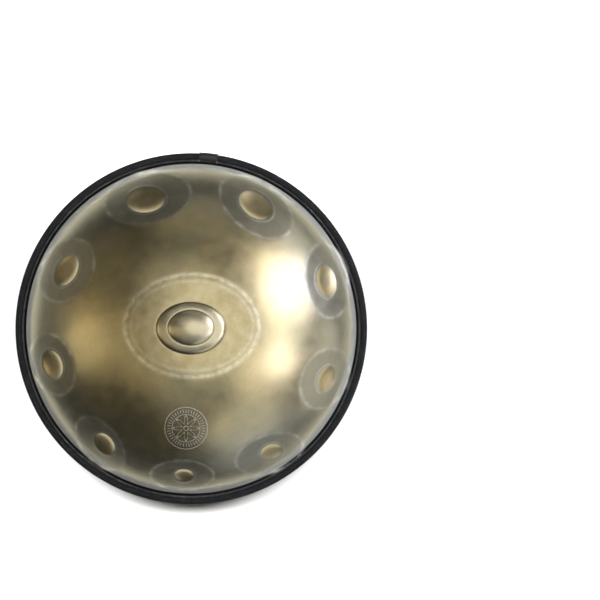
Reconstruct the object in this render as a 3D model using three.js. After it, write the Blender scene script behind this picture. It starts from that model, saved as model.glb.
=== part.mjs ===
// A handpan: two steel bowls glued together at their flanges, with a braided cord around the rim.
// Millimetres, +Z up. The pan stands on the lip of its port, with the ding on top.
// The origin is on the pan's axis, level with the lip. Bearings are degrees counterclockwise from +X.
import * as THREE from "three";

// Driving dimensions
const OVERALL_DIAMETER = 530;    // over the cord
const CORD_DIAMETER = 11;
const SHEET = 1.2;               // thickness of the steel
const GAP = 0.3;                 // clearance between touching pieces
const ADHESIVE_THICKNESS = 0.6;  // between the two flanges

// The plain dome, the same on both bowls: a half ellipse, cut off where it meets the flange
const DOME_HALF_WIDTH = 264.5;
const DOME_HALF_HEIGHT = 175;
const DOME_FOOT = 248.5;         // radius where the dome meets the flange
const FLANGE_RADIUS = 252;       // outer edge of both flanges
const FOOT_FILLET = 2;

// The port in the bottom bowl
const PORT_RADIUS = 56;
const LIP_RADIUS = 14;           // the roll between the dome and the neck
const LIP_LAND = 4;              // width of the flat ring that the pan stands on
const NECK_HEIGHT = 32;

// The joint in the cord
const JOINT_BEARING = 84.5;
const SLEEVE_LENGTH = 28;
const SLEEVE_WALL = 1;
const SLEEVE_BORE_RADIUS = 6;
const CORD_END_GAP = 1;          // between the two ends of the cord, under the sleeve
const COVER_WALL = 0.9;          // thickness of the braid

// Facets
const AROUND = 72;
const DOME_STEPS_TOP = 20;
const DOME_STEPS_BOTTOM = 15;
const CORD_SIDES = 8;
const SLEEVE_SIDES = 12;

// Tone fields, as ovals seen along the axis: bearing and radius of the centre, half length along the
// rim, half width across it, and the turn of the long side. Each holds a dimple, an oval of its own.
// The lower the note, the larger both are.
const TOP_FIELDS = [
  {
    field: { bearing: 108.5, radius: 205.5, length: 65, width: 40, turn: -9 },
    dimple: { bearing: 109.5, radius: 204.5, length: 29, width: 19.5, turn: -15, depth: 3.6 },
  },
  {
    field: { bearing: 62, radius: 206, length: 62, width: 38.5, turn: -10 },
    dimple: { bearing: 62.5, radius: 209, length: 27.5, width: 18.5, turn: -10, depth: 3.6 },
  },
  {
    field: { bearing: 155, radius: 205, length: 50, width: 39, turn: -10 },
    dimple: { bearing: 155, radius: 206, length: 25, width: 16, turn: -5, depth: 3.4 },
  },
  {
    field: { bearing: 19.5, radius: 214.5, length: 56.5, width: 33, turn: -11 },
    dimple: { bearing: 19.5, radius: 215, length: 24.5, width: 15, turn: -10, depth: 3.2 },
  },
  {
    field: { bearing: -165.5, radius: 213, length: 47.5, width: 33, turn: 5 },
    dimple: { bearing: -165.5, radius: 214, length: 22, width: 15, turn: 4, depth: 3.0 },
  },
  {
    field: { bearing: -20.5, radius: 213, length: 47, width: 35.5, turn: -7 },
    dimple: { bearing: -20.5, radius: 217, length: 20, width: 13, turn: -2, depth: 2.8 },
  },
  {
    field: { bearing: -128.5, radius: 218.5, length: 47, width: 28.5, turn: -13 },
    dimple: { bearing: -127, radius: 215, length: 18, width: 12.5, turn: -13, depth: 2.6 },
  },
  {
    field: { bearing: -58, radius: 220.5, length: 52, width: 30, turn: -16 },
    dimple: { bearing: -57, radius: 221, length: 16.5, width: 11.5, turn: -20, depth: 2.4 },
  },
  {
    field: { bearing: -93.5, radius: 219, length: 47.5, width: 23.5, turn: 3 },
    dimple: { bearing: -93, radius: 219.5, length: 14, width: 9, turn: 3, depth: 2.2 },
  },
];
const BOTTOM_FIELDS = [
  {
    field: { bearing: -155, radius: 171.5, length: 93.5, width: 69, turn: 0 },
    dimple: { bearing: -155, radius: 171.5, length: 46, width: 29, turn: 0, depth: 5.0 },
  },
  {
    field: { bearing: -9, radius: 175, length: 88, width: 62, turn: 0 },
    dimple: { bearing: -9, radius: 175, length: 42, width: 27, turn: 0, depth: 4.6 },
  },
  {
    field: { bearing: 134.5, radius: 194, length: 80, width: 47, turn: 0 },
    dimple: { bearing: 134.5, radius: 194, length: 35, width: 20, turn: 0, depth: 4.2 },
  },
  {
    field: { bearing: 47, radius: 198, length: 72, width: 44.5, turn: 0 },
    dimple: { bearing: 47, radius: 198, length: 29, width: 19, turn: 0, depth: 3.8 },
  },
  {
    field: { bearing: -110, radius: 225, length: 35.5, width: 17.5, turn: 4 },
    dimple: { bearing: -110, radius: 225, length: 12, width: 7, turn: 4, depth: 2.0 },
  },
  {
    field: { bearing: -61, radius: 226, length: 37, width: 18.5, turn: -4 },
    dimple: { bearing: -61, radius: 226, length: 11, width: 7, turn: -4, depth: 2.0 },
  },
];
const FLATNESS = 0.7;            // share of the dome's crown that a field flattens away
const RIM_FADE = 8;              // the relief dies out over this much radius before the flange

// The ding on the axis: a flattened field, a raised oval and a smaller one on top of it
const DING_FIELD = { length: 98, width: 74, sink: 2.0 };
const DING_SHOULDER = { length: 50, width: 38, rise: 5.5 };
const DING_CROWN = { length: 33, width: 25.5, rise: 4.5 };

// Sizes that follow
const CORD_RADIUS = CORD_DIAMETER / 2;
const CORD_RING = OVERALL_DIAMETER / 2 - CORD_RADIUS;          // radius of the cord's centre line
const FLANGE_INSIDE = ADHESIVE_THICKNESS / 2 + GAP;            // from the rim plane to a flange
const FLANGE_OUTSIDE = FLANGE_INSIDE + SHEET;
const LIP_RING = PORT_RADIUS + LIP_RADIUS;                     // radius of the lip's lowest ring
const SLEEVE_HALF_ANGLE = SLEEVE_LENGTH / 2 / CORD_RING;
const LIP_SLOPE = Math.atan(-domeSlope(LIP_RING + LIP_LAND / 2));
const LIP_START = LIP_RING + LIP_LAND / 2 + LIP_RADIUS * Math.sin(LIP_SLOPE);
const LIP_START_HEIGHT = LIP_RADIUS * (1 - Math.cos(LIP_SLOPE));
const RIM_HEIGHT = LIP_START_HEIGHT + domeHeight(LIP_START) + FLANGE_OUTSIDE;

const radians = THREE.MathUtils.degToRad;

/** Height of the plain dome above its flange, at one radius. */
function domeHeight(radius) {
  const height = (r) => DOME_HALF_HEIGHT * Math.sqrt(1 - (r / DOME_HALF_WIDTH) ** 2);
  return height(radius) - height(DOME_FOOT);
}

/** Slope of the plain dome at one radius: negative, because it falls outwards. */
function domeSlope(radius) {
  const share = radius / DOME_HALF_WIDTH;
  return (-DOME_HALF_HEIGHT / DOME_HALF_WIDTH) * share / Math.sqrt(1 - share ** 2);
}

/** 0 at the middle of an oval, 1 on its outline. The oval lies at a bearing, its length along the rim. */
function ovalDistance(x, y, { bearing, radius, length, width, turn }) {
  const outward = radians(bearing);
  const along = outward + Math.PI / 2 + radians(turn);
  const dx = x - radius * Math.cos(outward);
  const dy = y - radius * Math.sin(outward);
  const u = (dx * Math.cos(along) + dy * Math.sin(along)) / length;
  const v = (dy * Math.cos(along) - dx * Math.sin(along)) / width;
  return Math.hypot(u, v);
}

/** A rounded cap, 1 at the middle of an oval and 0 on and beyond its outline. */
function cap(distance) {
  return Math.max(0, 1 - distance ** 2);
}

/** How far a tone field and its dimple sink the plain dome. */
function fieldRelief(x, y, { field, dimple }) {
  const slope = Math.atan(-domeSlope(field.radius));
  const crown = (field.width / Math.cos(slope)) ** 2 / (2 * DOME_HALF_WIDTH);
  const flattened = FLATNESS * crown * cap(ovalDistance(x, y, field));
  const dimpled = dimple.depth * cap(ovalDistance(x, y, dimple));
  const fade = THREE.MathUtils.clamp((DOME_FOOT - Math.hypot(x, y)) / RIM_FADE, 0, 1);
  return -(flattened + dimpled) * fade;
}

/** How far the ding rises from the plain dome. Its long side lies along X. */
function dingRelief(x, y) {
  const share = (oval) => cap(Math.hypot(x / oval.length, y / oval.width));
  const shoulder = DING_SHOULDER.rise * Math.sqrt(share(DING_SHOULDER));
  return -DING_FIELD.sink * share(DING_FIELD) + shoulder + DING_CROWN.rise * share(DING_CROWN);
}

/** The outside of a bowl from one radius to the flange's edge: a dome, a fillet and the flat flange. */
function bowlSkin(firstRadius, steps) {
  const firstAngle = Math.asin(firstRadius / DOME_HALF_WIDTH);
  const footSlope = Math.atan(-domeSlope(DOME_FOOT));
  const filletRun = FOOT_FILLET * Math.tan(footSlope / 2);
  const lastRadius = DOME_FOOT - filletRun * Math.cos(footSlope);
  const lastAngle = Math.asin(lastRadius / DOME_HALF_WIDTH);
  const skin = [];
  for (let i = 0; i <= steps; i += 1) {
    const radius = DOME_HALF_WIDTH * Math.sin(THREE.MathUtils.lerp(firstAngle, lastAngle, i / steps));
    skin.push(new THREE.Vector2(radius, FLANGE_OUTSIDE + domeHeight(radius)));
  }
  skin.push(new THREE.Vector2(DOME_FOOT + filletRun, FLANGE_OUTSIDE));
  skin.push(new THREE.Vector2(FLANGE_RADIUS, FLANGE_OUTSIDE));
  return skin;
}

/** Turns an outline of radii and heights around the Z axis, with its seam at the cord's joint. */
function spin(outline) {
  return new THREE.LatheGeometry(outline, AROUND, radians(JOINT_BEARING + 90)).rotateX(Math.PI / 2);
}

/** The outward normal at each point of a skin that runs outwards from the axis. */
function skinNormals(skin) {
  return skin.map((point, i) => {
    const before = skin[Math.max(0, i - 1)];
    const after = skin[Math.min(skin.length - 1, i + 1)];
    const run = after.clone().sub(before).normalize();
    return new THREE.Vector2(-run.y, run.x);
  });
}

/** A sheet of steel turned around the axis: its skin, its lining, and the relief beaten into both. */
function spunSheet(skin, relief) {
  const normals = skinNormals(skin);
  const closed = skin[0].x === 0;
  if (closed) {
    normals[0].set(0, 1);
  }
  const lining = skin.map((point, i) => point.clone().addScaledVector(normals[i], -SHEET));
  const closing = closed ? [] : [lining[0]];
  const outline = [...lining, ...skin.slice().reverse(), ...closing];
  const outlineNormals = [...normals, ...normals.slice().reverse(), normals[0]];
  const skinPoints = [...skin, ...skin.slice().reverse(), skin[0]];

  const geometry = spin(outline);
  const position = geometry.attributes.position;
  for (let i = 0; i < position.count; i += 1) {
    const j = i % outline.length;
    const bearing = radians(JOINT_BEARING) + (Math.floor(i / outline.length) / AROUND) * Math.PI * 2;
    const across = Math.cos(bearing);
    const along = Math.sin(bearing);
    const rise = relief(skinPoints[j].x * across, skinPoints[j].x * along);
    const radius = outline[j].x + rise * outlineNormals[j].x;
    position.setXYZ(i, radius * across, radius * along, outline[j].y + rise * outlineNormals[j].y);
  }
  return geometry;
}

/** A stretch of the rim's circle, from one angle to another. */
class RimArc extends THREE.Curve {
  constructor(from, to) {
    super();
    this.from = from;
    this.to = to;
  }

  getPoint(t, target = new THREE.Vector3()) {
    const angle = THREE.MathUtils.lerp(this.from, this.to, t);
    return target.set(CORD_RING * Math.cos(angle), CORD_RING * Math.sin(angle), 0);
  }
}

/** Sweeps a section along the rim, between two angles. */
function sweep(section, from, to, steps) {
  return new THREE.ExtrudeGeometry(section, { steps, extrudePath: new RimArc(from, to), curveSegments: 1 });
}

/** A section point, from its distance outside the cord's centre line and its height above it. */
function sectionPoint(outward, height) {
  return new THREE.Vector2(-height, -outward);
}

/** A regular polygon around the cord's centre line, counterclockwise as a Shape wants it. */
function polygon(radius, sides) {
  return Array.from({ length: sides }, (_, i) => {
    const angle = (-i / sides) * Math.PI * 2;
    return sectionPoint(radius * Math.cos(angle), radius * Math.sin(angle));
  });
}

function ringSection(outerRadius, innerRadius, sides) {
  const section = new THREE.Shape(polygon(outerRadius, sides));
  section.holes.push(new THREE.Path(polygon(innerRadius, sides)));
  return section;
}

/** The top bowl, closed at the axis, with the ding and its tone fields. */
function topShell() {
  const relief = (x, y) => TOP_FIELDS.reduce((sum, field) => sum + fieldRelief(x, y, field), dingRelief(x, y));
  return spunSheet(bowlSkin(0, DOME_STEPS_TOP), relief);
}

/** The bottom bowl, made the same way up as the top one, with a port rolled inwards at the axis. */
function bottomShell() {
  const dome = bowlSkin(LIP_START, DOME_STEPS_BOTTOM);
  const top = dome[0].y + LIP_START_HEIGHT;
  const landEdge = LIP_RING + LIP_LAND / 2;
  const neckCorner = LIP_RING - LIP_LAND / 2;
  const lip = [
    new THREE.Vector2(PORT_RADIUS, top - NECK_HEIGHT),
    new THREE.Vector2(PORT_RADIUS, top - LIP_RADIUS),
    ...[60, 30].map((degrees) => new THREE.Vector2(
      neckCorner - (neckCorner - PORT_RADIUS) * Math.sin(radians(degrees)),
      top - LIP_RADIUS * (1 - Math.cos(radians(degrees))),
    )),
    new THREE.Vector2(neckCorner, top),
    new THREE.Vector2(landEdge, top),
  ];
  const relief = (x, y) => BOTTOM_FIELDS.reduce((sum, field) => sum + fieldRelief(x, -y, field), 0);
  return spunSheet([...lip, ...dome], relief);
}

/** The flat ring of glue between the flanges. */
function flangeAdhesive() {
  const inner = DOME_FOOT + FOOT_FILLET / 2;
  const half = ADHESIVE_THICKNESS / 2;
  const outline = [
    new THREE.Vector2(inner, -half),
    new THREE.Vector2(FLANGE_RADIUS, -half),
    new THREE.Vector2(FLANGE_RADIUS, half),
    new THREE.Vector2(inner, half),
    new THREE.Vector2(inner, -half),
  ];
  return spin(outline);
}

/** The braid: a tube once around the rim, open at both ends under the sleeve. */
function cordCover() {
  const end = CORD_END_GAP / 2 / CORD_RING;
  const section = ringSection(CORD_RADIUS, CORD_RADIUS - COVER_WALL, CORD_SIDES);
  return sweep(section, end, Math.PI * 2 - end, AROUND);
}

/** The strand inside the braid. */
function cordCore() {
  const end = CORD_END_GAP / CORD_RING;
  const section = new THREE.Shape(polygon(CORD_RADIUS - COVER_WALL - GAP, CORD_SIDES));
  return sweep(section, end, Math.PI * 2 - end, AROUND);
}

/** The adhesive between the flanges' edge and the cord. It stops on each side of the sleeve. */
function cordBead() {
  const end = SLEEVE_HALF_ANGLE + GAP * 4 / CORD_RING;
  const inner = FLANGE_RADIUS + GAP - CORD_RING;
  const outer = (height) => -Math.sqrt((CORD_RADIUS + GAP) ** 2 - height ** 2);
  const half = FLANGE_OUTSIDE;
  const section = new THREE.Shape([
    sectionPoint(inner, -half),
    sectionPoint(outer(half), -half),
    sectionPoint(outer(0), 0),
    sectionPoint(outer(half), half),
    sectionPoint(inner, half),
  ]);
  return sweep(section, end, Math.PI * 2 - end, AROUND);
}

/** The shrunk tube over the joint in the cord. */
function jointSleeve() {
  const section = ringSection(SLEEVE_BORE_RADIUS + SLEEVE_WALL, SLEEVE_BORE_RADIUS, SLEEVE_SIDES);
  return sweep(section, -SLEEVE_HALF_ANGLE, SLEEVE_HALF_ANGLE, 4);
}

const BRONZED_STEEL = { color: 0x8a7a50, roughness: 0.35, metalness: 1 };
const ADHESIVE = { color: 0x15161a, roughness: 0.5, metalness: 0 };
const BRAID = { color: 0x17181a, roughness: 0.8, metalness: 0 };
const STRAND = { color: 0x202224, roughness: 0.9, metalness: 0 };
const SHRINK_TUBE = { color: 0x0c0d0e, roughness: 0.25, metalness: 0 };

function piece(name, geometry, look) {
  const mesh = new THREE.Mesh(geometry, new THREE.MeshStandardMaterial(look));
  mesh.name = name;
  return mesh;
}

/** The whole pan. The bowls meet in the rim plane, and the bottom one is turned over. */
function handpan() {
  const bottom = piece("bottom_shell", bottomShell(), BRONZED_STEEL);
  bottom.rotation.x = Math.PI;

  const trim = new THREE.Group();
  trim.rotation.z = radians(JOINT_BEARING);
  trim.add(piece("cord_cover", cordCover(), BRAID), piece("cord_core", cordCore(), STRAND));
  trim.add(piece("cord_bead", cordBead(), ADHESIVE), piece("joint_sleeve", jointSleeve(), SHRINK_TUBE));

  const pan = new THREE.Group();
  pan.position.z = RIM_HEIGHT;
  pan.add(piece("top_shell", topShell(), BRONZED_STEEL), bottom);
  pan.add(piece("flange_adhesive", flangeAdhesive(), ADHESIVE), trim);
  return pan;
}

export default handpan();
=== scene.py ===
"""The looks of a handpan: two bronzed steel bowls, a braided cord around the rim, a floor and studio light.

Metres, +Z up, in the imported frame. Bearings are degrees counterclockwise from +X, seen from above.
The steel is built as rings of points around the pan's axis, and the rim's trim as rings around the cord.
"""

import math
from collections import namedtuple

import bpy
import numpy as np
from mathutils import Matrix, Vector


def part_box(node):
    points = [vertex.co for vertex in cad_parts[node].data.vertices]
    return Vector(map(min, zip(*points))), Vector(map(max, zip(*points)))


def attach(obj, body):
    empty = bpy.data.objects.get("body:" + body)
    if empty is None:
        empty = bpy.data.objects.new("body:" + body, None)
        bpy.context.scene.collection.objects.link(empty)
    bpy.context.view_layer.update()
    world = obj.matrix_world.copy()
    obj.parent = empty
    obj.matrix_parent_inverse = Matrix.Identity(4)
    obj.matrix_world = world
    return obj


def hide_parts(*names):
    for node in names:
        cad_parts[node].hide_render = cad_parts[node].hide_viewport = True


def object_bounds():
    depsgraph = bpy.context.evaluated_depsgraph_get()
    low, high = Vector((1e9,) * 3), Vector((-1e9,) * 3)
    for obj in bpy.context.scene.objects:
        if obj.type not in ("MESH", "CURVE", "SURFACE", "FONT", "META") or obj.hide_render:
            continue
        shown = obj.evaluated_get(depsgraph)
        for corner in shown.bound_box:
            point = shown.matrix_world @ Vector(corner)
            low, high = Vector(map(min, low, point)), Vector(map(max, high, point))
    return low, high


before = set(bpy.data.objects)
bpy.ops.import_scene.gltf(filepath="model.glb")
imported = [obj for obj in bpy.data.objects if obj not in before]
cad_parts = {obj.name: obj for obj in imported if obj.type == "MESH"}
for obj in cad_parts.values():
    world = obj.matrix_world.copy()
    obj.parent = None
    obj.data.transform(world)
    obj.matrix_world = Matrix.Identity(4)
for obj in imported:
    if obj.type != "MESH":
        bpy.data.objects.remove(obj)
CAD_BOUNDS = [list(corner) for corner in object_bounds()]

# Sizes read from the frame
ADHESIVE_LOW, ADHESIVE_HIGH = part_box("flange_adhesive")
CORD_LOW, CORD_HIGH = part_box("cord_cover")
RIM_HEIGHT = (ADHESIVE_LOW[2] + ADHESIVE_HIGH[2]) / 2
CORD_RADIUS = (CORD_HIGH[2] - CORD_LOW[2]) / 2
PAN_RADIUS = round(CORD_HIGH[0], 3)  # the facets of the CAD cord end just short of its true outline
CORD_RING = PAN_RADIUS - CORD_RADIUS  # radius of the cord's centre line

# The bowls, as in the CAD model
SHEET = 0.0012
FLANGE_INSIDE = 0.0006  # from the rim plane to a flange
FLANGE_OUTSIDE = FLANGE_INSIDE + SHEET
FLANGE_EDGE = 0.0003  # rounding of a flange's outer edge
DOME_HALF_WIDTH = 0.2645
DOME_HALF_HEIGHT = 0.175
DOME_FOOT = 0.2485
FLANGE_RADIUS = 0.252
FOOT_FILLET = 0.002
PORT_RADIUS = 0.056
LIP_RADIUS = 0.014
LIP_LAND = 0.004
NECK_HEIGHT = 0.032

# The joint in the cord
JOINT_BEARING = 84.5
SLEEVE_LENGTH = 0.028
SLEEVE_OUTER = 0.007
SLEEVE_BORE = 0.006
CORD_END_GAP = 0.001
COVER_WALL = 0.0009

# The braid: strands each way, the length along the cord of one turn, and how far they stand out
BRAID_STRANDS = 8
BRAID_LEAD = 0.030
BRAID_STRAND_HEIGHT = 0.0006
BRAID_WEAVE = 0.0003  # how far a strand rises and dips, over and under the others

# An oval, seen along the axis: bearing and radius of its centre, half its length and width, and its turn
Oval = namedtuple("Oval", "bearing radius length width turn")

# A note: the oval of its field, the oval of its dimple, and the dimple's depth
Note = namedtuple("Note", "field dimple depth")

TOP_NOTES = [
    Note(Oval(108.5, 0.2055, 0.065, 0.040, -9), Oval(109.5, 0.2045, 0.029, 0.0195, -15), 0.0036),
    Note(Oval(62, 0.206, 0.062, 0.0385, -10), Oval(62.5, 0.209, 0.0275, 0.0185, -10), 0.0036),
    Note(Oval(155, 0.205, 0.050, 0.039, -10), Oval(155, 0.206, 0.025, 0.016, -5), 0.0034),
    Note(Oval(19.5, 0.2145, 0.0565, 0.033, -11), Oval(19.5, 0.215, 0.0245, 0.015, -10), 0.0032),
    Note(Oval(-165.5, 0.213, 0.0475, 0.033, 5), Oval(-165.5, 0.214, 0.022, 0.015, 4), 0.0030),
    Note(Oval(-20.5, 0.213, 0.047, 0.0355, -7), Oval(-20.5, 0.217, 0.020, 0.013, -2), 0.0028),
    Note(Oval(-128.5, 0.2185, 0.047, 0.0285, -13), Oval(-127, 0.215, 0.018, 0.0125, -13), 0.0026),
    Note(Oval(-58, 0.2205, 0.052, 0.030, -16), Oval(-57, 0.221, 0.0165, 0.0115, -20), 0.0024),
    Note(Oval(-93.5, 0.219, 0.0475, 0.0235, 3), Oval(-93, 0.2195, 0.014, 0.009, 3), 0.0022),
]
BOTTOM_NOTES = [
    Note(Oval(-155, 0.1715, 0.0935, 0.069, 0), Oval(-155, 0.1715, 0.046, 0.029, 0), 0.0050),
    Note(Oval(-9, 0.175, 0.088, 0.062, 0), Oval(-9, 0.175, 0.042, 0.027, 0), 0.0046),
    Note(Oval(134.5, 0.194, 0.080, 0.047, 0), Oval(134.5, 0.194, 0.035, 0.020, 0), 0.0042),
    Note(Oval(47, 0.198, 0.072, 0.0445, 0), Oval(47, 0.198, 0.029, 0.019, 0), 0.0038),
    Note(Oval(-110, 0.225, 0.0355, 0.0175, 4), Oval(-110, 0.225, 0.012, 0.007, 4), 0.0020),
    Note(Oval(-61, 0.226, 0.037, 0.0185, -4), Oval(-61, 0.226, 0.011, 0.007, -4), 0.0020),
]
FLATNESS = 0.75  # share of the dome's crown that a field flattens away
FIELD_SOFTNESS = 0.03  # how softly a field's flat area meets the dome
DIMPLE_SOFTNESS = 0.05
RIM_FADE = 0.008  # the relief dies out over this much radius before the flange
BORDER_GROOVE = 0.00018  # depth of the beaten line around a field
BORDER_HALF_WIDTH = 0.0026
DIMPLE_FULLNESS = 1.4  # above 1, a dimple's floor is broad and its wall is steep
DIMPLE_LIP = 0.0016  # half width of the raised edge around a dimple
LIP_LINES = (0.0004, 0.0036)  # the two pale lines worn into that edge, out from the dimple
LIP_LINE_HALF_WIDTH = 0.0007

# A part of the ding: half its length along X, half its width, its height, and its centre
DingPart = namedtuple("DingPart", "length width height x y")

DING_FIELD = DingPart(0.098, 0.074, -0.0020, 0.0014, 0.0043)
DING_SHOULDER = DingPart(0.0503, 0.0377, 0.0055, 0.0, 0.0009)
DING_CROWN = DingPart(0.033, 0.0254, 0.0045, 0.0, 0.0017)
DING_FIELD_SOFTNESS = 0.02
SHOULDER_SOFTNESS = 0.03
CROWN_SOFTNESS = 0.03
SHOULDER_CREASE = (0.0003, 0.0015)  # depth and half width of the groove around it
CROWN_CREASE = (0.0004, 0.0014)
SECOND_RING = 0.0085  # from the border of the ding's field in to a fainter line

# Hammer work
HAMMER_PITCH = 0.0075  # between dents along a border
HAMMER_RADIUS = 0.0045
HAMMER_DEPTH = 0.00012
HAMMER_SPREAD = 0.0022  # how far dents stray from a border
WAVELENGTHS = (0.045, 0.06, 0.075, 0.09, 0.12)
WAVE_HEIGHT = 0.00006
SEED = 11

# Fineness of the bowls' meshes
RING_COUNTS = ((0.014, 48), (0.029, 96), (0.058, 192), (0.116, 384), (math.inf, 768))  # (up to, points)
DING_REACH = 0.056
FIELDS_START = 0.160
DING_STEP = 0.0011  # from ring to ring over the ding
PLAIN_STEP = 0.0022  # between the ding and the fields
FIELD_STEP = 0.0014  # over the fields
LINING_SKIP = 5  # the lining has every fifth ring of the skin, each with a quarter of its points


def around(count):
    """Evenly spaced angles, once around."""
    return np.arange(count) / count * math.tau


def dome_height(radius):
    """Height of the plain dome above its flange."""
    def height(r):
        return DOME_HALF_HEIGHT * np.sqrt(1 - (r / DOME_HALF_WIDTH) ** 2)
    return height(radius) - height(DOME_FOOT)


def dome_slope(radius):
    """Downward slope angle of the plain dome."""
    share = radius / DOME_HALF_WIDTH
    return np.arctan(DOME_HALF_HEIGHT / DOME_HALF_WIDTH * share / np.sqrt(1 - share**2))


def oval_axis(oval):
    """Direction of an oval's length, in radians."""
    return math.radians(oval.bearing) + math.pi / 2 + math.radians(oval.turn)


def oval_centre(oval):
    """The x and y of an oval's centre."""
    outward = math.radians(oval.bearing)
    return oval.radius * np.array([math.cos(outward), math.sin(outward)])


def oval_place(x, y, oval):
    """Elliptic distance from an oval's centre (1 on its outline), and how far outside the outline."""
    along = oval_axis(oval)
    centre = oval_centre(oval)
    dx = x - centre[0]
    dy = y - centre[1]
    u = (dx * math.cos(along) + dy * math.sin(along)) / oval.length
    v = (dy * math.cos(along) - dx * math.sin(along)) / oval.width
    distance = np.hypot(u, v)
    reach = np.hypot(dx, dy)
    return distance, reach * (1 - 1 / np.maximum(distance, 1e-6))


def soft_cap(distance, softness):
    """A rounded cap, 1 at the middle of an oval and 0 outside it, with a softened outline."""
    cap = 1 - distance**2
    return (cap + np.sqrt(cap**2 + softness**2)) / 2


def ridge(offset, half_width):
    """A smooth line: 1 where the offset is 0."""
    return np.exp(-((offset / half_width) ** 2))


def smooth_step(low, high, value):
    """Goes smoothly from 0 at the low value to 1 at the high one. The low one may be the greater."""
    share = np.clip((value - low) / (high - low), 0, 1)
    return share * share * (3 - 2 * share)


def rim_fade(x, y):
    """A bowl's relief is whole (1) up to near its foot, where it dies out to 0."""
    return np.clip((DOME_FOOT - np.hypot(x, y)) / RIM_FADE, 0, 1)


def field_relief(x, y, note):
    """How far one tone field, its beaten border and its dimple rise from the plain dome."""
    distance, outside = oval_place(x, y, note.field)
    width = note.field.width / math.cos(dome_slope(note.field.radius))
    crown = width**2 / (2 * DOME_HALF_WIDTH)
    dimple_distance, dimple_outside = oval_place(x, y, note.dimple)
    sink = FLATNESS * crown * soft_cap(distance, FIELD_SOFTNESS)
    sink += note.depth * soft_cap(dimple_distance**DIMPLE_FULLNESS, DIMPLE_SOFTNESS)
    sink += BORDER_GROOVE * ridge(outside, BORDER_HALF_WIDTH)
    sink -= BORDER_GROOVE * ridge(dimple_outside - DIMPLE_LIP, DIMPLE_LIP)
    return -sink * rim_fade(x, y)


def oval_at(part):
    """The oval of a ding part, whose length lies along X."""
    bearing = math.degrees(math.atan2(part.y, part.x))
    return Oval(bearing, math.hypot(part.x, part.y), part.length, part.width, -90 - bearing)


def ding_relief(x, y):
    """How far the ding rises from the plain dome."""
    field, field_outside = oval_place(x, y, oval_at(DING_FIELD))
    shoulder, shoulder_outside = oval_place(x, y, oval_at(DING_SHOULDER))
    crown, crown_outside = oval_place(x, y, oval_at(DING_CROWN))
    rise = DING_FIELD.height * soft_cap(field, DING_FIELD_SOFTNESS)
    rise = rise - BORDER_GROOVE * ridge(field_outside, BORDER_HALF_WIDTH)
    share = np.clip(1 - shoulder**2, 0, 1)
    rise = rise + DING_SHOULDER.height * share / np.sqrt(share + SHOULDER_SOFTNESS)
    rise = rise + DING_CROWN.height * soft_cap(crown, CROWN_SOFTNESS)
    for outside, crease in ((shoulder_outside, SHOULDER_CREASE), (crown_outside, CROWN_CREASE)):
        depth, half_width = crease
        rise = rise - depth * ridge(outside, half_width)
    return rise


def hammer_dents(ovals, random):
    """Centres, radii and depths of small dents, beaten one after another along the borders of ovals."""
    dents = []
    for oval in ovals:
        along = oval_axis(oval)
        centre = oval_centre(oval)
        count = int(math.pi * (oval.length + oval.width) / HAMMER_PITCH)
        for k in range(count):
            angle = math.tau * (k + random.uniform(-0.35, 0.35)) / count
            reach = 1 + random.normal(0, HAMMER_SPREAD) / oval.width
            u = oval.length * reach * math.cos(angle)
            v = oval.width * reach * math.sin(angle)
            x = centre[0] + u * math.cos(along) - v * math.sin(along)
            y = centre[1] + u * math.sin(along) + v * math.cos(along)
            size = HAMMER_RADIUS * random.uniform(0.6, 1.3)
            dents.append((x, y, size, HAMMER_DEPTH * random.uniform(0.2, 1.0)))
    return np.array(dents)


def dent_relief(x, y, dents):
    """How far the dents rise from the sheet, which is never above 0."""
    relief = np.zeros_like(x)
    for dent_x, dent_y, size, depth in dents:
        share = 1 - ((x - dent_x) ** 2 + (y - dent_y) ** 2) / size**2
        relief -= depth * np.clip(share, 0, None) ** 2
    return relief


def waves(x, y, seed):
    """Slow unevenness of a beaten sheet, as a sum of plane waves."""
    random = np.random.default_rng(seed)
    total = np.zeros_like(x)
    for wavelength in WAVELENGTHS:
        direction = random.uniform(0, math.tau)
        phase = random.uniform(0, math.tau)
        total += np.sin((x * math.cos(direction) + y * math.sin(direction)) * math.tau / wavelength + phase)
    return WAVE_HEIGHT * total / math.sqrt(len(WAVELENGTHS))


def mesh_object(name, points, faces, material):
    """A smooth-shaded object, in the scene, from its points and faces."""
    mesh = bpy.data.meshes.new(name)
    mesh.from_pydata(points.tolist(), [], faces)
    mesh.validate()
    mesh.shade_smooth()
    mesh.materials.append(material)
    piece = bpy.data.objects.new(name, mesh)
    bpy.context.scene.collection.objects.link(piece)
    return piece


def add_marks(piece, marks):
    """Attributes of a piece's points, which its material reads."""
    for name, value in marks.items():
        attribute = piece.data.attributes.new(name, "FLOAT", "POINT")
        attribute.data.foreach_set("value", value.astype(np.float32))


def bridge(first, second):
    """Faces between two rings of vertex numbers. A ring may have twice the points of the other, or one."""
    if len(second) == 1:
        return [face[::-1] for face in bridge(second, first)]
    if len(first) == 1:
        following = np.roll(second, -1)
        return [(int(first[0]), int(a), int(b)) for a, b in zip(second, following)]
    if len(first) > len(second):
        return [face[::-1] for face in bridge(second, first)]
    inner, inner_next = first, np.roll(first, -1)
    if len(first) == len(second):
        outer, outer_next = second, np.roll(second, -1)
        return np.stack([inner, outer, outer_next, inner_next], axis=1).tolist()
    corner, middle, corner_next = second[::2], second[1::2], np.roll(second[::2], -1)
    faces = np.stack([inner, corner, middle], axis=1).tolist()
    faces += np.stack([inner, middle, inner_next], axis=1).tolist()
    faces += np.stack([inner_next, middle, corner_next], axis=1).tolist()
    return faces


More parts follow.
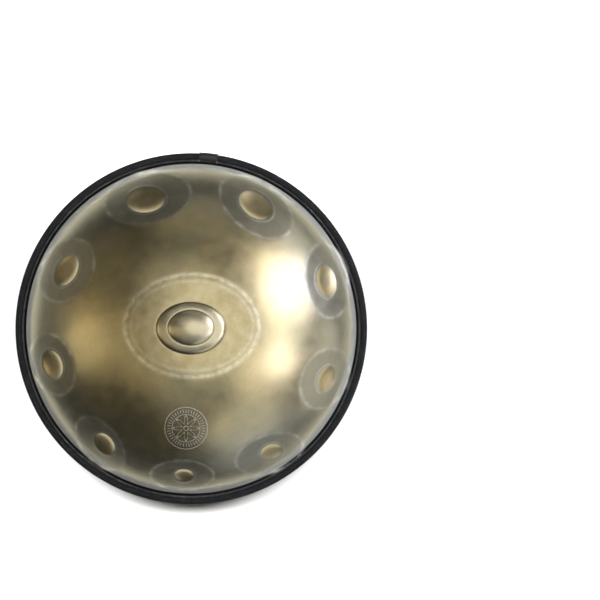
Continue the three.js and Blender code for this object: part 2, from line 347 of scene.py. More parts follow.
def mesh_from_rings(name, rings, material, closed):
    """One solid from rings of points. It ends at single points, or its last ring meets its first."""
    starts = np.cumsum([0] + [len(ring) for ring in rings])
    numbers = [np.arange(starts[i], starts[i + 1]) for i in range(len(rings))]
    faces = []
    for first, second in zip(numbers, numbers[1:]):
        faces += bridge(first, second)
    if closed:
        faces += bridge(numbers[-1], numbers[0])
    return mesh_object(name, np.concatenate(rings), faces, material)


# Steel bowls ------------------------------------------------------------------------------------


def ring_count(radius):
    """Points around a ring of a bowl's skin: they double as the ring grows, to keep an even spacing."""
    return next(count for limit, count in RING_COUNTS if radius < limit)


def dome_radii(first):
    """Radii of a skin's rings from the first one to the foot of the dome, closer where there is detail."""

    def step(radius):
        if radius < DING_REACH:
            return DING_STEP
        return FIELD_STEP if radius > FIELDS_START else PLAIN_STEP

    radii = [first]
    last = DOME_FOOT - foot_run() * math.cos(float(dome_slope(DOME_FOOT)))
    while radii[-1] < last - 0.001:
        radii.append(radii[-1] + step(radii[-1]))
    radii[-1] = last
    return np.array(radii)


def foot_run():
    """From the corner between dome and flange to where the fillet starts, along either one."""
    return FOOT_FILLET * math.tan(float(dome_slope(DOME_FOOT)) / 2)


def foot_profile():
    """The fillet, the flange and its rounded outer edge, as (radius, height) points."""
    slope = float(dome_slope(DOME_FOOT))
    centre_radius = DOME_FOOT + foot_run()
    centre_height = FLANGE_OUTSIDE + FOOT_FILLET
    points = []
    for angle in np.linspace(slope, 0, 10)[1:]:
        radius = centre_radius - FOOT_FILLET * math.sin(angle)
        points.append((radius, centre_height - FOOT_FILLET * math.cos(angle)))
    for radius in np.linspace(centre_radius, FLANGE_RADIUS - FLANGE_EDGE, 4)[1:]:
        points.append((float(radius), FLANGE_OUTSIDE))
    points.append((FLANGE_RADIUS, FLANGE_OUTSIDE - FLANGE_EDGE))
    return points


def profile_normals(profile):
    """The outward normal at each point of a profile that runs outwards from the axis."""
    run = np.gradient(profile, axis=0)
    run /= np.linalg.norm(run, axis=1, keepdims=True)
    return np.stack([-run[:, 1], run[:, 0]], axis=1)


def displaced_ring(count, radius, height, normal, relief, fade=1.0):
    """A ring of a bowl, moved along its profile's normal by the relief. Also its plan before that."""
    if radius < 1e-9:
        plan = np.zeros((1, 2))
        angle = np.zeros(1)
    else:
        angle = around(count)
        plan = radius * np.stack([np.cos(angle), np.sin(angle)], axis=1)
    rise = relief(plan[:, 0], plan[:, 1]) * fade
    reach = radius + rise * normal[0]
    points = np.stack([reach * np.cos(angle), reach * np.sin(angle), height + rise * normal[1]], axis=1)
    return points, plan


def bowl(name, skin, relief, marks, material, closed, upside_down=False):
    """A steel bowl from its skin's profile, with its relief and the attributes that its material reads.

    Its rows run out along the skin and back along the lining. A closed bowl has a hole at its middle.
    """
    skin = np.array(skin)
    normals = profile_normals(skin)
    if not closed:
        normals[0] = (0, 1)
    lining_rows = list(range(0, len(skin), LINING_SKIP)) + [len(skin) - 1]

    def row(i, coarser, depth):
        return ring_count(skin[i][0]) // coarser, skin[i] - depth * normals[i], skin[i], normals[i]

    rows = [row(i, 1, 0.0) for i in range(len(skin))]
    rows.append(row(len(skin) - 1, 2, SHEET / 2))
    rows += [row(i, 4, SHEET) for i in reversed(lining_rows)]
    if closed:
        rows.append(row(0, 2, SHEET / 2))
    rings, plans = [], []
    for count, place, above, normal in rows:
        flat = 0.0 if above[0] > DOME_FOOT else 1.0
        points, plan = displaced_ring(count, place[0], place[1], normal, relief, flat)
        rings.append(points)
        plans.append(plan)
    piece = mesh_from_rings(name, rings, material, closed)
    plan = np.concatenate(plans)
    add_marks(piece, marks(plan[:, 0], plan[:, 1]))
    turn = Matrix.Rotation(math.pi, 4, "X") if upside_down else Matrix.Identity(4)
    piece.data.transform(Matrix.Translation((0, 0, RIM_HEIGHT)) @ turn)
    return piece


def inner_side(x, y, dimple):
    """1 on the side of a dimple toward the pan's axis, where its lip is worn most, and 0.25 on the other."""
    outward = math.radians(dimple.bearing)
    offset = x * math.cos(outward) + y * math.sin(outward) - dimple.radius
    return 0.25 + 0.75 * smooth_step(0.3 * dimple.width, -0.6 * dimple.width, offset)


def field_marks(x, y, notes):
    """Where the tone fields, their borders, their dimples and the dimples' lips are, from 0 to 1."""
    field, border, dimple, lip = (np.zeros_like(x) for _ in range(4))
    for note in notes:
        _, outside = oval_place(x, y, note.field)
        distance, dimple_outside = oval_place(x, y, note.dimple)
        side = inner_side(x, y, note.dimple)
        field = np.maximum(field, smooth_step(0.002, -0.002, outside))
        border = np.maximum(border, ridge(outside, BORDER_HALF_WIDTH))
        dimple = np.maximum(dimple, smooth_step(1.05, 0.85, distance))
        for line in LIP_LINES:
            lip = np.maximum(lip, side * ridge(dimple_outside - line, LIP_LINE_HALF_WIDTH))
    return {"field": field, "border": border, "dimple": dimple, "lip": lip}


def ding_marks(x, y):
    """Where the ding's field, its border, its raised middle and its creases are, from 0 to 1."""
    _, outside = oval_place(x, y, oval_at(DING_FIELD))
    _, shoulder_outside = oval_place(x, y, oval_at(DING_SHOULDER))
    _, crown_outside = oval_place(x, y, oval_at(DING_CROWN))
    second_ring = 0.4 * ridge(outside + SECOND_RING, BORDER_HALF_WIDTH)
    return {
        "ding": smooth_step(0.003, -0.003, outside),
        "ring": np.maximum(ridge(outside, 1.2 * BORDER_HALF_WIDTH), second_ring),
        "crown": smooth_step(0.001, -0.001, shoulder_outside),
        "crease": np.maximum(ridge(shoulder_outside, 0.0012), ridge(crown_outside, 0.001)),
    }


def no_ding_marks(x):
    """The ding's marks on a bowl without one."""
    return {name: np.zeros_like(x) for name in ("ding", "ring", "crown", "crease")}


def top_bowl(material):
    """The upper bowl, with the ding and nine tone fields."""
    random = np.random.default_rng(SEED)
    ovals = [note.field for note in TOP_NOTES] + [oval_at(DING_FIELD)]
    dents = hammer_dents(ovals, random)
    wave_seed = int(random.integers(1 << 30))

    def relief(x, y):
        total = ding_relief(x, y) + dent_relief(x, y, dents) * rim_fade(x, y)
        for note in TOP_NOTES:
            total += field_relief(x, y, note)
        return total + waves(x, y, wave_seed) * rim_fade(x, y)

    def marks(x, y):
        return field_marks(x, y, TOP_NOTES) | ding_marks(x, y)

    radii = dome_radii(0.0)
    skin = list(zip(radii, FLANGE_OUTSIDE + dome_height(radii))) + foot_profile()
    piece = bowl("top_bowl", skin, relief, marks, material, closed=False)
    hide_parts("top_shell")
    return piece


def port_profile():
    """The port's neck and rolled lip, as (radius, height) points, and the radius where the dome starts."""
    ring = PORT_RADIUS + LIP_RADIUS
    slope = float(dome_slope(ring + LIP_LAND / 2))
    start = ring + LIP_LAND / 2 + LIP_RADIUS * math.sin(slope)
    top = FLANGE_OUTSIDE + float(dome_height(start)) + LIP_RADIUS * (1 - math.cos(slope))
    corner = ring - LIP_LAND / 2
    across = corner - PORT_RADIUS
    heights = np.linspace(top - NECK_HEIGHT, top - LIP_RADIUS, 9)
    points = [(PORT_RADIUS, float(height)) for height in heights]
    for angle in np.radians(np.linspace(90, 0, 13))[1:]:
        points.append((corner - across * math.sin(angle), top - LIP_RADIUS * (1 - math.cos(angle))))
    for radius in np.linspace(corner, corner + LIP_LAND, 4)[1:]:
        points.append((float(radius), top))
    for angle in np.linspace(0, slope, 7)[1:-1]:
        radius = ring + LIP_LAND / 2 + LIP_RADIUS * math.sin(angle)
        points.append((radius, top - LIP_RADIUS * (1 - math.cos(angle))))
    return points, start


def bottom_bowl(material):
    """The lower bowl, with the port and six tone fields. It is made port up, and then turned over."""
    random = np.random.default_rng(SEED + 1)
    dents = hammer_dents([note.field for note in BOTTOM_NOTES], random)
    wave_seed = int(random.integers(1 << 30))

    def relief(x, y):
        y = -y
        total = dent_relief(x, y, dents) * rim_fade(x, y)
        for note in BOTTOM_NOTES:
            total += field_relief(x, y, note)
        beyond_port = smooth_step(0.080, 0.110, np.hypot(x, y))
        return total + waves(x, y, wave_seed) * rim_fade(x, y) * beyond_port

    def marks(x, y):
        return field_marks(x, -y, BOTTOM_NOTES) | no_ding_marks(x)

    port, start = port_profile()
    radii = dome_radii(start)
    skin = port + list(zip(radii, FLANGE_OUTSIDE + dome_height(radii))) + foot_profile()
    piece = bowl("bottom_bowl", skin, relief, marks, material, closed=True, upside_down=True)
    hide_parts("bottom_shell")
    return piece


# The rim's trim ---------------------------------------------------------------------------------


def rim_ring(bearing, section_angle, radius):
    """Points of a ring around the cord's centre line at one bearing, in radians."""
    outward = CORD_RING + radius * np.cos(section_angle)
    height = RIM_HEIGHT + radius * np.sin(section_angle)
    return np.stack([outward * np.cos(bearing), outward * np.sin(bearing), height], axis=-1)


def braid_height(angle, distance):
    """Height of a braid's surface, from 0 at its crests down: strands over and under each other."""
    u = BRAID_STRANDS * (angle / math.tau + distance / BRAID_LEAD)
    v = BRAID_STRANDS * (angle / math.tau - distance / BRAID_LEAD)

    def crown(place):
        across = (np.mod(place, 1) - 0.5) / 0.5
        return BRAID_STRAND_HEIGHT * np.sqrt(np.clip(1 - across**2, 0, 1))

    def parity(place):
        return 1 - 2 * np.mod(np.floor(place), 2)

    first = crown(u) + BRAID_WEAVE * parity(u) * np.cos(math.pi * (v - 0.5))
    second = crown(v) - BRAID_WEAVE * parity(v) * np.cos(math.pi * (u - 0.5))
    return np.maximum(first, second) - BRAID_STRAND_HEIGHT - BRAID_WEAVE


def rim_braid(material):
    """The braided cover: once around the rim, a thin tube, open at both ends under the sleeve."""
    steps, sides, bore_steps, bore_sides = 2400, 32, 240, 16
    bore = CORD_RADIUS - COVER_WALL - BRAID_WEAVE
    end = CORD_END_GAP / 2 / CORD_RING
    start = math.radians(JOINT_BEARING) + end
    angle = around(sides)
    rings, crests = [], []
    for bearing in np.linspace(start, start + math.tau - 2 * end, steps + 1):
        depth = braid_height(angle, bearing * CORD_RING)
        rings.append(rim_ring(bearing, angle, CORD_RADIUS + depth)[::-1])
        crests.append(1 + depth[::-1] / (BRAID_STRAND_HEIGHT + BRAID_WEAVE))
    for bearing in np.linspace(start + math.tau - 2 * end, start, bore_steps + 1):
        rings.append(rim_ring(bearing, around(bore_sides), bore)[::-1])
        crests.append(np.zeros(bore_sides))
    piece = mesh_from_rings("rim_braid", rings, material, closed=True)
    add_marks(piece, {"crest": np.concatenate(crests)})
    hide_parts("cord_cover")
    return piece


def joint_tube(material):
    """The glossy tube shrunk over the cord's joint: a rolled edge at each end, and faint ribs between."""
    steps, sides = 56, 48
    rib_height, rib_pitch = 0.00008, 0.0045
    roll_height, roll_half_width, roll_from_end = 0.0003, 0.0007, 0.0008
    edge_drop, edge_half_width = 0.0004, 0.0003
    body = SLEEVE_OUTER - 0.0002  # the rolled ends stand out from it
    half = SLEEVE_LENGTH / 2 / CORD_RING
    joint = math.radians(JOINT_BEARING)
    angle = around(sides)
    rings = []
    for share in np.linspace(-1, 1, steps + 1):
        distance = share * SLEEVE_LENGTH / 2
        ribs = rib_height * np.cos(distance / rib_pitch * math.tau + 2 * angle) * (1 - share**8)
        from_end = SLEEVE_LENGTH / 2 - abs(distance)
        roll = roll_height * ridge(from_end - roll_from_end, roll_half_width)
        roll = roll - edge_drop * ridge(from_end, edge_half_width)
        rings.append(rim_ring(joint + share * half, angle, body + ribs + roll))
    for share in np.linspace(1, -1, 9):
        rings.append(rim_ring(joint + share * half, angle, SLEEVE_BORE))
    piece = mesh_from_rings("joint_tube", [ring[::-1] for ring in rings], material, closed=True)
    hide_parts("joint_sleeve")
    return piece


def rim_bead(material):
    """The bead of adhesive between the flanges' edge and the cord, thinned to a film beside the sleeve."""
    steps, sides, clearance = 960, 12, 0.00005
    overlap, swelling = 0.0002, 0.0006  # how far the bead goes past the flanges, and how far that varies
    random = np.random.default_rng(SEED + 2)
    lobes = [(int(random.integers(20, 160)), random.uniform(0, math.tau)) for _ in range(12)]
    joint = math.radians(JOINT_BEARING)
    sleeve_half = SLEEVE_LENGTH / 2 / CORD_RING
    angle = around(sides)
    rings = []
    shoulders = [side * sleeve_half * share for side in (-1, 1) for share in (1.0, 1.01, 1.03)]
    for from_joint in sorted([*(around(steps) - math.pi), *shoulders]):
        bearing = joint + from_joint
        beside_sleeve = float(smooth_step(sleeve_half * 1.03, sleeve_half * 1.01, abs(from_joint)))
        cord = CORD_RADIUS + (SLEEVE_OUTER - CORD_RADIUS) * beside_sleeve + clearance
        swell = sum(math.sin(count * from_joint + phase) for count, phase in lobes) / len(lobes)
        height = (FLANGE_OUTSIDE + overlap + swelling * swell) * np.sin(angle)
        face = CORD_RING - np.sqrt(cord**2 - height**2)
        inner = FLANGE_RADIUS + clearance
        reach = np.where(np.cos(angle) > 0.1, face, inner)
        reach = np.where(abs(np.cos(angle)) < 0.1, (face + inner) / 2, reach)
        x, y = reach * math.cos(bearing), reach * math.sin(bearing)
        rings.append(np.stack([x, y, RIM_HEIGHT + height], axis=1)[::-1])
    piece = mesh_from_rings("rim_bead", rings, material, closed=True)
    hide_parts("cord_bead")
    return piece


# Materials --------------------------------------------------------------------------------------


class Shader:
    """A material's node tree, with short calls for the nodes that the materials here are made of."""

    def __init__(self, name):
        self.material = bpy.data.materials.new(name)
        self.material.use_nodes = True
        self.nodes = self.material.node_tree.nodes
        self.links = self.material.node_tree.links
        self.surface = self.nodes["Principled BSDF"]
        self.place = self.nodes.new("ShaderNodeTexCoord").outputs["Object"]

    def put(self, socket, value):
        """Links a socket to another one, or sets it to a number or a colour."""
        if isinstance(value, bpy.types.NodeSocket):
            self.links.new(value, socket)
        elif isinstance(value, tuple) and socket.type == "RGBA":
            socket.default_value = (*value, 1)
        else:
            socket.default_value = value

    def math(self, operation, first, second=0.0, third=0.0):
        """A maths node. MULTIPLY_ADD gives first * second + third."""
        node = self.nodes.new("ShaderNodeMath")
        node.operation = operation
        for socket, value in zip(node.inputs, (first, second, third)):
            self.put(socket, value)
        return node.outputs[0]

    def spread(self, value, low, high, to_low=0.0, to_high=1.0):
        """Maps a range onto another, smoothly and clamped."""
        node = self.nodes.new("ShaderNodeMapRange")
        node.interpolation_type = "SMOOTHSTEP"
        for socket, number in zip(node.inputs, (value, low, high, to_low, to_high)):
            self.put(socket, number)
        return node.outputs[0]

    def times(self, first, second):
        return self.math("MULTIPLY", first, second)

    def vary(self, value, by, share):
        """A value, with a pattern from 0 to 1 varying it up and down by half of this share."""
        return self.math("MULTIPLY_ADD", self.math("SUBTRACT", by, 0.5), share, value)

    def length(self, x, y):
        return self.math("SQRT", self.math("ADD", self.math("POWER", x, 2.0), self.math("POWER", y, 2.0)))

    def mix(self, share, first, second, blend="MIX"):
        """The first colour with this share of the second."""
        node = self.nodes.new("ShaderNodeMix")
        node.data_type = "RGBA"
        node.blend_type = blend
        self.put(node.inputs[0], share)
        self.put(node.inputs[6], first)
        self.put(node.inputs[7], second)
        return node.outputs[2]

    def coat(self, colour, where, strength, paint):
        """A colour, painted over where a mark from 0 to 1 says, at most this strongly."""
        return self.mix(self.times(where, strength), colour, paint)

    def noise(self, scale, detail=2.0, vector=None, roughness=0.5):
        """Soft noise with this many lumps per metre, unless it is given a vector of its own."""
        node = self.nodes.new("ShaderNodeTexNoise")
        self.put(node.inputs["Vector"], vector or self.place)
        self.put(node.inputs["Scale"], scale)
        self.put(node.inputs["Detail"], detail)
        self.put(node.inputs["Roughness"], roughness)
        return node.outputs[0]

    def mark(self, name):
        """An attribute of the mesh."""
        node = self.nodes.new("ShaderNodeAttribute")
        node.attribute_name = name
        return node.outputs["Fac"]

    def axes(self, vector=None):
        """The x, y and z of a vector, or of the place on the object."""
        node = self.nodes.new("ShaderNodeSeparateXYZ")
        self.put(node.inputs[0], vector or self.place)
        return node.outputs

    def vector(self, x, y, z):
        node = self.nodes.new("ShaderNodeCombineXYZ")
        for socket, value in zip(node.inputs, (x, y, z)):
            self.put(socket, value)
        return node.outputs[0]

    def bump(self, height, distance, strength=1.0, normal=None):
        """A normal, tilted by a height from 0 to 1 that stands for this distance."""
        node = self.nodes.new("ShaderNodeBump")
        node.inputs["Strength"].default_value = strength
        node.inputs["Distance"].default_value = distance
        self.put(node.inputs["Height"], height)
        if normal is not None:
            self.put(node.inputs["Normal"], normal)
        return node.outputs[0]

    def set(self, **values):
        """Sets or links sockets of the Principled node, by name with underscores for spaces."""
        for name, value in values.items():
            self.put(self.surface.inputs[name.replace("_", " ")], value)


# Colours of the steel and of what is on it
GOLD = (0.64, 0.52, 0.265)
OLIVE = (0.50, 0.43, 0.235)
GREY_BRONZE = (0.46, 0.43, 0.31)
FIELD_GREY = (0.40, 0.375, 0.28)
RIM_GREY = (0.235, 0.24, 0.22)
PALE_LINE = (0.72, 0.70, 0.58)
PALE_GOLD = (0.84, 0.76, 0.52)
DING_GOLD = (0.45, 0.37, 0.19)
DING_PALE = (0.54, 0.47, 0.28)
CROWN_GREY = (0.68, 0.61, 0.41)
DIMPLE_BRASS = (0.60, 0.48, 0.25)
# Painted shade: dark brown, in the creases around the ding's shoulder and crown
DING_CREASE_SHADE = (0.16, 0.115, 0.055)
# Painted shade: near black, for the crease where the dome's foot meets the flange
CREASE_SHADE_BLACK = (0.010, 0.010, 0.009)
ETCHED = (0.88, 0.84, 0.72)

# Radii over which the bronze turns grey, then dull and rubbed beside the rim, then black with painted shade
# in the crease at the dome's foot
GREY_ZONE = (0.150, 0.215)
RUBBED_ZONE = (0.235, 0.245)
CREASE_SHADE_ZONE = (0.2475, 0.2488)
LEAST_ROUGHNESS = 0.28  # below it the denoiser takes its guides from the reflections, and leaves specks

ROUNDEL_CENTRE = (-0.0073, -0.146)
ROUNDEL_RADIUS = 0.0313


def polar(shader):
    """The distance from the pan's axis, and coordinates in which marks run around the axis."""
    x, y, _ = shader.axes()
    radius = shader.length(x, y)
    safe = shader.math("MAXIMUM", radius, 0.001)
    turning = shader.vector(shader.math("DIVIDE", x, safe), shader.math("DIVIDE", y, safe), 0.0)
    return radius, turning


def brushing(shader, radius, turning, across, along):
    """Fine lines around the axis: this many per metre of radius, and this many around."""
    x, y, _ = shader.axes(turning)
    vector = shader.vector(shader.times(x, along), shader.times(y, along), shader.times(radius, across))
    return shader.noise(1.0, 3.0, vector, 0.6)


def etched_roundel(shader):
    """A generic etched mark: rings, a circle of ticks and an eight-pointed star. 1 on its lines."""
    x, y, z = shader.axes()
    dx = shader.math("SUBTRACT", x, ROUNDEL_CENTRE[0])
    dy = shader.math("SUBTRACT", y, ROUNDEL_CENTRE[1])
    reach = shader.length(dx, dy)
    angle = shader.math("ARCTAN2", dy, dx)

    def turns(count):
        return shader.math("COSINE", shader.times(angle, float(count)))

    def line(gap, half_width, core=0.0):
        return shader.spread(shader.math("ABSOLUTE", gap), half_width, core)

    def ring(share, half_width):
        return line(shader.math("SUBTRACT", reach, ROUNDEL_RADIUS * share), half_width)

    inside = shader.spread(reach, ROUNDEL_RADIUS * 0.90, ROUNDEL_RADIUS * 0.88)
    between = shader.times(shader.spread(reach, ROUNDEL_RADIUS * 0.72, ROUNDEL_RADIUS * 0.74), inside)
    ticks = shader.times(shader.spread(turns(40), 0.2, 1.0), between)
    points = shader.math("POWER", shader.math("ABSOLUTE", turns(4)), 2.5)
    star_edge = shader.math("MULTIPLY_ADD", points, ROUNDEL_RADIUS * 0.38, ROUNDEL_RADIUS * 0.22)
    star = line(shader.math("SUBTRACT", reach, star_edge), 0.0016, 0.0005)
    lines = ring(1.0, 0.0013)
    for more in (ring(0.66, 0.0010), ticks, star, ring(0.11, 0.0012)):
        lines = shader.math("MAXIMUM", lines, more)
    on_top = shader.spread(z, RIM_HEIGHT, RIM_HEIGHT + 0.01)
    return shader.times(lines, on_top)


def worn_borders(shader, patches):
    """Where the beaten lines around the fields are worn pale, which is more along some stretches."""
    stretches = shader.noise(22.0, 1.0)
    worn = shader.times(shader.mark("border"), shader.spread(patches, 0.35, 0.65, 0.3, 0.8))
    return shader.times(worn, shader.spread(stretches, 0.38, 0.6, 0.25, 1.0))


def steel_colour(shader, radius, patches):
    """The oxide's colours, and over them what the notes, the rim and wear have done, and painted shade in
    the creases at the dome's foot and around the ding.
    """
    clouds = shader.noise(14.0, 3.0)
    mottled = shader.mix(shader.spread(patches, 0.3, 0.72), DING_GOLD, DING_PALE)
    dashes = shader.spread(shader.noise(130.0, 2.0), 0.35, 0.62, 0.45, 1.0)
    colour = shader.mix(shader.spread(clouds, 0.35, 0.68), GOLD, OLIVE)
    coats = (
        (shader.spread(radius, *GREY_ZONE), 1.0, GREY_BRONZE),
        (shader.mark("field"), 0.75, FIELD_GREY),
        (shader.mark("ding"), 0.75, mottled),
        (shader.spread(radius, *RUBBED_ZONE), 1.0, RIM_GREY),
        # painted shade, near black, in the crease at the dome's foot
        (shader.spread(radius, *CREASE_SHADE_ZONE), 1.0, CREASE_SHADE_BLACK),
        (shader.mark("dimple"), 0.8, DIMPLE_BRASS),
        (worn_borders(shader, patches), 1.0, PALE_LINE),
        (shader.times(shader.mark("ring"), dashes), 1.0, PALE_GOLD),
        (shader.mark("crown"), 0.7, CROWN_GREY),
        (shader.mark("lip"), 0.85, PALE_LINE),
        # painted shade, dark brown, in the creases around the ding's shoulder and crown
        (shader.mark("crease"), 0.85, DING_CREASE_SHADE),
    )
    for where, strength, paint in coats:
        colour = shader.coat(colour, where, strength, paint)
    return colour


def bronzed_steel(name, roundel):
    """Nitrided steel with a warm oxide: gold in the middle, grey at the rim, pale along the borders."""
    shader = Shader(name)
    radius, turning = polar(shader)
    patches = shader.noise(60.0, 3.0)
    grain = shader.noise(700.0, 2.0)
    lines = brushing(shader, radius, turning, 900.0, 7.0)
    # where the painted shade of the crease at the dome's foot goes; it also roughens the steel there and
    # keeps it metallic
    crease_shade = shader.spread(radius, *CREASE_SHADE_ZONE)

    shade = shader.vary(shader.vary(shader.vary(1.0, grain, 0.22), lines, 0.20), patches, 0.25)
    shade_colour = shader.vector(shade, shade, shade)
    colour = shader.mix(1.0, steel_colour(shader, radius, patches), shade_colour, "MULTIPLY")

    rough = shader.vary(0.30, patches, 0.12)
    rough = shader.math("MULTIPLY_ADD", shader.mark("field"), 0.04, rough)
    rough = shader.math("MULTIPLY_ADD", shader.mark("border"), 0.05, rough)
    if roundel:
        etched = etched_roundel(shader)
        colour = shader.coat(colour, etched, 0.9, ETCHED)
        rough = shader.math("MULTIPLY_ADD", etched, 0.25, rough)
    rough = shader.math("MULTIPLY_ADD", crease_shade, 0.3, rough)

    smoother = shader.spread(shader.mark("dimple"), 0.0, 1.0, 1.0, 0.2)
    surface = shader.times(shader.math("MULTIPLY_ADD", lines, 0.5, grain), smoother)
    normal = shader.bump(patches, 0.0003, 0.25, shader.bump(surface, 0.00002, 0.6))
    metal = shader.math("MULTIPLY_ADD", shader.spread(radius, *RUBBED_ZONE), -0.55, 1.0)
    shader.set(
        Base_Color=colour,
        Metallic=shader.math("MAXIMUM", metal, crease_shade),
        Roughness=shader.math("MAXIMUM", rough, LEAST_ROUGHNESS),
        Normal=normal,
    )
    return shader.material


def braid_cord():
    """Black polyester braid: dull yarns, with painted shade between the strands."""
    shader = Shader("braid_black")
    yarn = shader.noise(900.0, 3.0)
    dust = shader.noise(45.0, 3.0)
    colour = shader.mix(shader.spread(yarn, 0.35, 0.7), (0.002, 0.0021, 0.0022), (0.006, 0.0066, 0.0068))
    colour = shader.mix(shader.spread(dust, 0.5, 0.8, 0.0, 0.3), colour, (0.012, 0.012, 0.011))
    # painted shade: darker away from the strands' crests, in the gaps between them
    colour = shader.mix(shader.spread(shader.mark("crest"), 0.75, 0.35), colour, (0.0008, 0.0008, 0.0008))
    shader.set(
        Base_Color=colour,
        Roughness=shader.spread(yarn, 0.2, 0.8, 0.6, 0.8),
        Normal=shader.bump(yarn, 0.0003, 0.5),
        Specular_IOR_Level=0.22,
    )
    return shader.material


def strand_yarn():
    """The filler yarn inside the braid."""
    shader = Shader("strand_grey")
    yarn = shader.noise(1200.0, 3.0)
    colour = shader.mix(yarn, (0.010, 0.010, 0.011), (0.035, 0.036, 0.038))
    shader.set(Base_Color=colour, Roughness=0.85, Normal=shader.bump(yarn, 0.0004, 0.6))
    return shader.material


def shrink_tube():
    """Glossy black shrink tube, slightly scuffed."""
    shader = Shader("shrink_tube_black")
    scuffs = shader.noise(260.0, 4.0)
    swells = shader.noise(120.0, 1.0)
    colour = shader.mix(shader.spread(scuffs, 0.45, 0.8), (0.004, 0.004, 0.004), (0.014, 0.014, 0.014))
    rough = shader.spread(scuffs, 0.3, 0.75, 0.28, 0.38)
    shader.set(Base_Color=colour, Roughness=rough, Normal=shader.bump(swells, 0.0003, 0.2))
    return shader.material


def set_adhesive():
    """Black rubbery adhesive, a little dusty."""
    shader = Shader("adhesive_black")
    film = shader.noise(180.0, 3.0)
    colour = shader.mix(shader.spread(film, 0.35, 0.75), (0.007, 0.007, 0.008), (0.030, 0.030, 0.029))
    rough = shader.spread(film, 0.3, 0.7, 0.32, 0.6)
    shader.set(Base_Color=colour, Roughness=rough, Normal=shader.bump(film, 0.0004, 0.4))
    return shader.material


def pale_floor():
    """White paper. In reflections it is painted darker with distance, as painted shade, and darkest on the
    side away from the lights.
    """
    shader = Shader("floor_white")
    radius, turning = polar(shader)
    east, north, _ = shader.axes(turning)
    unlit = math.radians(UNLIT_BEARING)
    toward = shader.math("MULTIPLY_ADD", north, math.sin(unlit), shader.times(east, math.cos(unlit)))
    paper = shader.mix(shader.noise(3.0), (0.86, 0.86, 0.86), (0.89, 0.89, 0.89))
    near = (0.60, 0.60, 0.58)
    # painted shade: how dark the floor looks in reflections far off, darkest away from the lights
    far = shader.mix(shader.spread(toward, 0.3, 0.9), (0.15, 0.15, 0.14), (0.02, 0.02, 0.02))
    shade_in_reflections = shader.mix(shader.spread(radius, 0.45, 0.95), near, far)
    path = shader.nodes.new("ShaderNodeLightPath")
    colour = shader.mix(path.outputs["Is Glossy Ray"], paper, shade_in_reflections)
    shader.set(Base_Color=colour, Roughness=0.85, Specular_IOR_Level=0.1)
    return shader.material


def paint_cad_node(name, material):
    """Gives a CAD node that stays in view its finished material."""
    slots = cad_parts[name].data.materials
    slots.clear()
    slots.append(material)


# Room, light and camera -------------------------------------------------------------------------

# Colours of light
DAYLIGHT = (0.97, 1.0, 1.3)
COOL = (0.93, 1.0, 1.18)
NEUTRAL = (1.0, 1.0, 1.0)
WARM = (1.13, 0.99, 0.74)

# Softboxes around the pan: bearing, tilt from straight above, (width, height), radiance and colour
SOFTBOXES = {
    "key_right": (24, 56, (1.15, 1.7), 4.0, DAYLIGHT),
    "key_low_right": (-19, 47, (0.75, 0.85), 3.5, DAYLIGHT),
    "key_between": (2, 48, (0.7, 1.3), 1.5, COOL),
    "key_back_right": (45, 52, (0.6, 0.9), 1.0, NEUTRAL),
    "over_low_right": (-40, 36, (0.8, 0.8), 1.0, NEUTRAL),
    "side_right": (42, 78, (1.4, 0.9), 1.0, NEUTRAL),
    "side_low_right": (-15, 80, (2.0, 0.9), 1.0, NEUTRAL),
    "side_front": (-62, 80, (2.0, 0.9), 0.35, COOL),
    "overhead": (5, 9, (1.9, 1.9), 1.2, NEUTRAL),
    "over_left": (200, 28, (1.4, 1.2), 0.4, WARM),
    "over_back": (110, 24, (1.4, 1.2), 0.4, NEUTRAL),
    "over_front": (260, 30, (1.2, 1.0), 0.25, COOL),
    "fill_left": (188, 56, (1.1, 1.3), 0.8, WARM),
    "wall_left": (160, 60, (2.4, 2.0), 0.1, WARM),
    "side_left": (170, 82, (2.2, 0.8), 0.15, WARM),
    "fill_front": (-60, 58, (1.7, 1.4), 0.75, COOL),
    "fill_back": (85, 60, (2.0, 1.5), 0.25, NEUTRAL),
}
SOFTBOX_DISTANCE = 2.4
UNLIT_BEARING = 240  # the side of the room with no lights

# Two lights from above, which light the floor too and cast the pan's shadow
TOP_BEARINGS = {"top_right": 37, "top_left": 143}
TOP_TILT = 15
TOP_DISTANCE = 4.0
TOP_SIZE = (0.9, 0.9)
TOP_RADIANCE = 102.0

FLOOR_RADIUS = 2.0
FLOOR_SIDES = 128
ROOM_GLOW = 0.05  # of the room that the pan reflects, between the lights

# The camera: where it is and what it looks at, both from the middle of the pan's rim, and its lens in mm
CAMERA_EYE = (0.039, 0.010, 3.25)
CAMERA_AIM = (0.1632, 0.0431, 0.0)
CAMERA_LENS = 129.2
CAMERA_SENSOR = 36


def floor(material):
    """A plain round floor at the height that the pan stands on, as wide as the top lights cover evenly."""
    angle = around(FLOOR_SIDES)
    bottom = np.full_like(angle, CAD_BOUNDS[0][2])
    points = np.stack([FLOOR_RADIUS * np.cos(angle), FLOOR_RADIUS * np.sin(angle), bottom], axis=1)
    piece = mesh_object("floor", points, [tuple(range(FLOOR_SIDES))], material)
    return piece


def softbox(name, bearing, tilt, distance, size, radiance, colour=NEUTRAL):
    """A soft oval light aimed at the pan, from a bearing and at a tilt from straight above."""
    light = bpy.data.lights.new(name, "AREA")
    light.shape = "ELLIPSE"
    light.size, light.size_y = size
    light.energy = radiance * math.pi * (math.pi / 4 * size[0] * size[1])
    light.color = colour
    lamp = bpy.data.objects.new(name, light)
    direction = Vector((
        math.sin(math.radians(tilt)) * math.cos(math.radians(bearing)),
        math.sin(math.radians(tilt)) * math.sin(math.radians(bearing)),
        math.cos(math.radians(tilt)),
    ))
    lamp.location = Vector((0, 0, RIM_HEIGHT)) + direction * distance
    lamp.rotation_euler = direction.to_track_quat("Z", "Y").to_euler()
    bpy.context.scene.collection.objects.link(lamp)
    return lamp


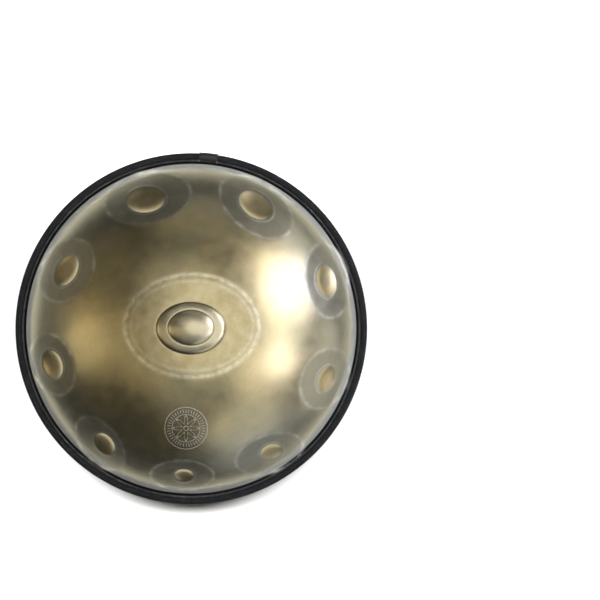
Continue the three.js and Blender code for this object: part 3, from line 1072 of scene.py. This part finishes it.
def studio_lights(pieces):
    """The lights from above, which no reflection shows, and the softboxes, which light only the pan."""
    pan = bpy.data.collections.new("lit_by_softboxes")
    for piece in pieces:
        pan.objects.link(piece)
    for name, bearing in TOP_BEARINGS.items():
        top = softbox(name, bearing, TOP_TILT, TOP_DISTANCE, TOP_SIZE, TOP_RADIANCE)
        top.visible_glossy = False
    for name, (bearing, tilt, size, radiance, colour) in SOFTBOXES.items():
        lamp = softbox(name, bearing, tilt, SOFTBOX_DISTANCE, size, radiance, colour)
        lamp.light_linking.receiver_collection = pan


def surroundings():
    """A white room for the camera, and a dark one for reflections."""
    world = bpy.data.worlds.new("studio")
    bpy.context.scene.world = world
    world.use_nodes = True
    nodes, links = world.node_tree.nodes, world.node_tree.links
    path = nodes.new("ShaderNodeLightPath")
    seen = nodes.new("ShaderNodeMix")
    seen.data_type = "RGBA"
    seen.inputs[6].default_value = (ROOM_GLOW, ROOM_GLOW, ROOM_GLOW, 1)
    seen.inputs[7].default_value = (1, 1, 1, 1)
    links.new(path.outputs["Is Camera Ray"], seen.inputs[0])
    links.new(seen.outputs[2], nodes["Background"].inputs["Color"])


def photo_camera():
    """Almost on the pan's axis, above it, turned so that the pan sits left of the middle and below it."""
    rim_middle = Vector((0, 0, RIM_HEIGHT))
    eye = rim_middle + Vector(CAMERA_EYE)
    back = (Vector(CAMERA_EYE) - Vector(CAMERA_AIM)).normalized()
    right = Vector((0, 1, 0)).cross(back).normalized()
    turn = Matrix((right, back.cross(right), back)).transposed().to_4x4()
    camera = bpy.data.objects.new("camera", bpy.data.cameras.new("camera"))
    camera.data.lens = CAMERA_LENS
    camera.data.sensor_width = CAMERA_SENSOR
    camera.matrix_world = Matrix.Translation(eye) @ turn
    bpy.context.scene.collection.objects.link(camera)
    bpy.context.scene.camera = camera


def main():
    photo_camera()
    adhesive = set_adhesive()
    paint_cad_node("flange_adhesive", adhesive)
    paint_cad_node("cord_core", strand_yarn())
    pieces = [
        top_bowl(bronzed_steel("bronzed_steel_top", roundel=True)),
        bottom_bowl(bronzed_steel("bronzed_steel_bottom", roundel=False)),
        rim_braid(braid_cord()),
        joint_tube(shrink_tube()),
        rim_bead(adhesive),
    ]
    for piece in pieces:
        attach(piece, "root")
    floor(pale_floor())
    studio_lights(pieces)
    surroundings()
    bpy.context.scene.view_settings.view_transform = "Standard"


main()
